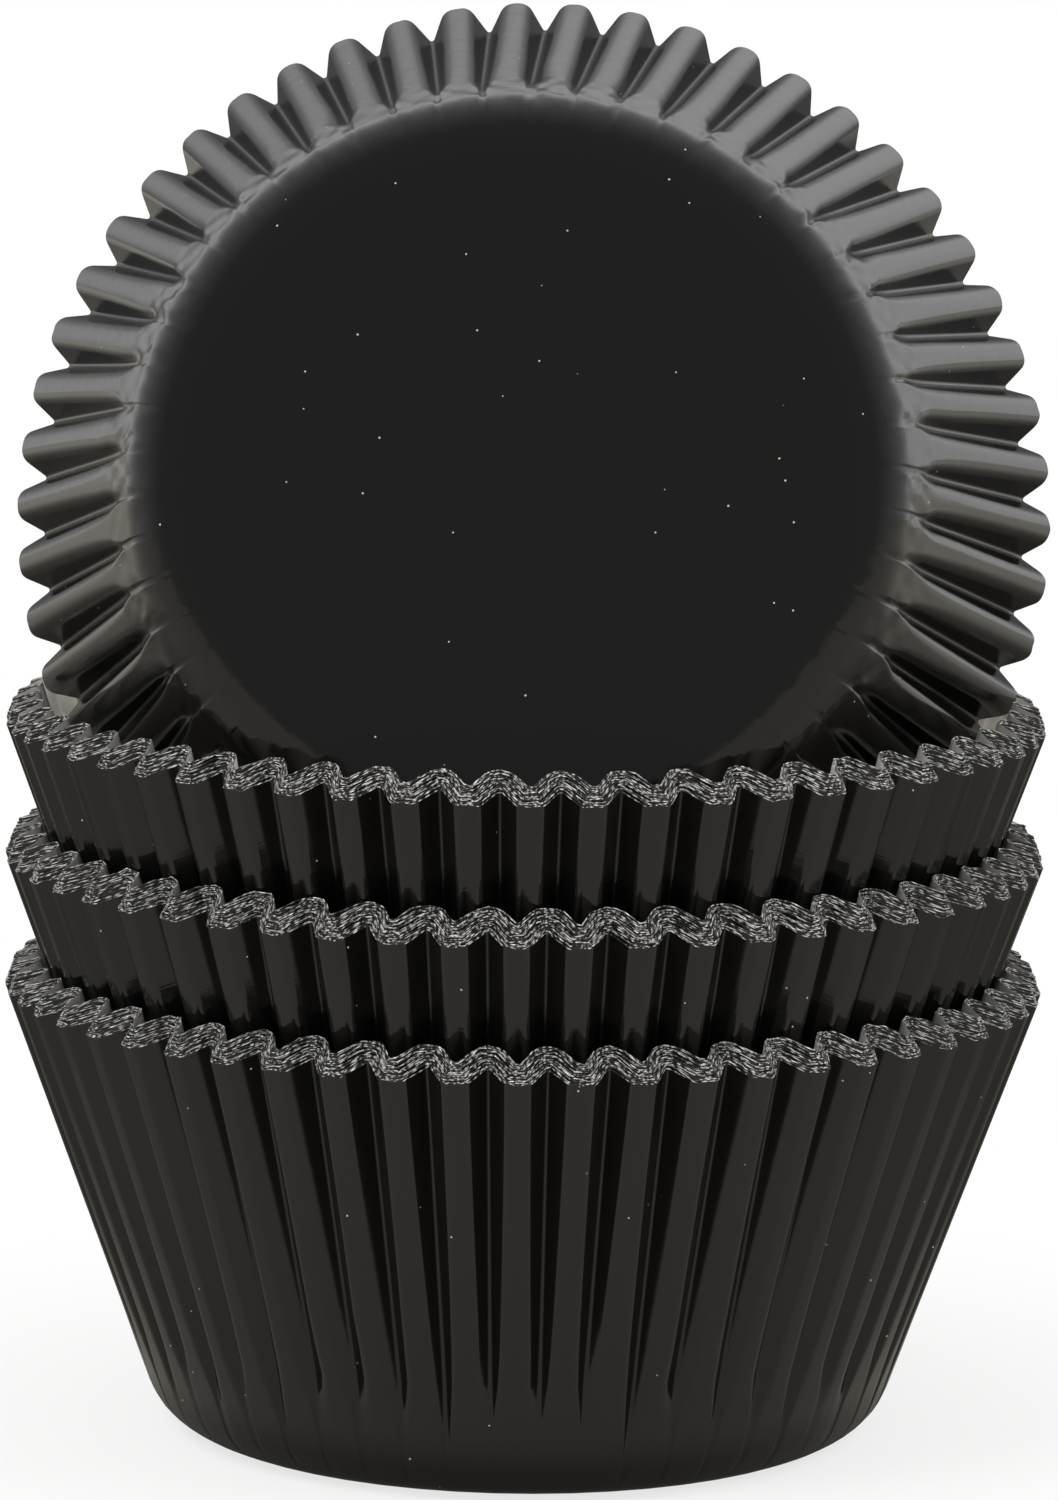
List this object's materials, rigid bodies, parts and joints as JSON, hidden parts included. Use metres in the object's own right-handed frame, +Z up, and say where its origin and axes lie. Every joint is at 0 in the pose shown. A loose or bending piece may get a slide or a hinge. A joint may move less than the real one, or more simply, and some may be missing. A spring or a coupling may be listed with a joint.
{
  "type": "stack of cupcake liners",
  "caption": "Nested bundles of fluted black foil cupcake liners stacked one in another, with one loose liner standing on its rim in the top bundle, its round base to the front.",
  "frame": {"origin": "centre of the lowest base, on the surface that the stack stands on", "axes": "+Z up along the stack, -Y to the front, where the loose liner's base faces"},
  "size_m": [0.0744, 0.0742, 0.1011],
  "materials": {
    "foil_paper": "glossy black foil outside, pale greaseproof paper inside"
  },
  "bodies": {
    "root": {"lower_liner_01": "foil_paper", "lower_liner_02": "foil_paper", "lower_liner_03": "foil_paper", "lower_liner_04": "foil_paper", "lower_liner_05": "foil_paper", "lower_liner_06": "foil_paper", "lower_liner_07": "foil_paper", "lower_liner_08": "foil_paper", "lower_liner_09": "foil_paper", "lower_liner_10": "foil_paper", "lower_liner_11": "foil_paper", "lower_liner_12": "foil_paper", "lower_liner_13": "foil_paper", "middle_liner_01": "foil_paper", "middle_liner_02": "foil_paper", "middle_liner_03": "foil_paper", "middle_liner_04": "foil_paper", "middle_liner_05": "foil_paper", "middle_liner_06": "foil_paper", "middle_liner_07": "foil_paper", "middle_liner_08": "foil_paper", "middle_liner_09": "foil_paper", "middle_liner_10": "foil_paper", "middle_liner_11": "foil_paper", "middle_liner_12": "foil_paper", "middle_liner_13": "foil_paper", "middle_liner_14": "foil_paper", "upper_liner_01": "foil_paper", "upper_liner_02": "foil_paper", "upper_liner_03": "foil_paper", "upper_liner_04": "foil_paper", "upper_liner_05": "foil_paper", "upper_liner_06": "foil_paper", "upper_liner_07": "foil_paper", "upper_liner_08": "foil_paper", "upper_liner_09": "foil_paper", "upper_liner_10": "foil_paper", "upper_liner_11": "foil_paper", "upper_liner_12": "foil_paper", "leaning_liner": "foil_paper"}
  },
  "joints": []
}
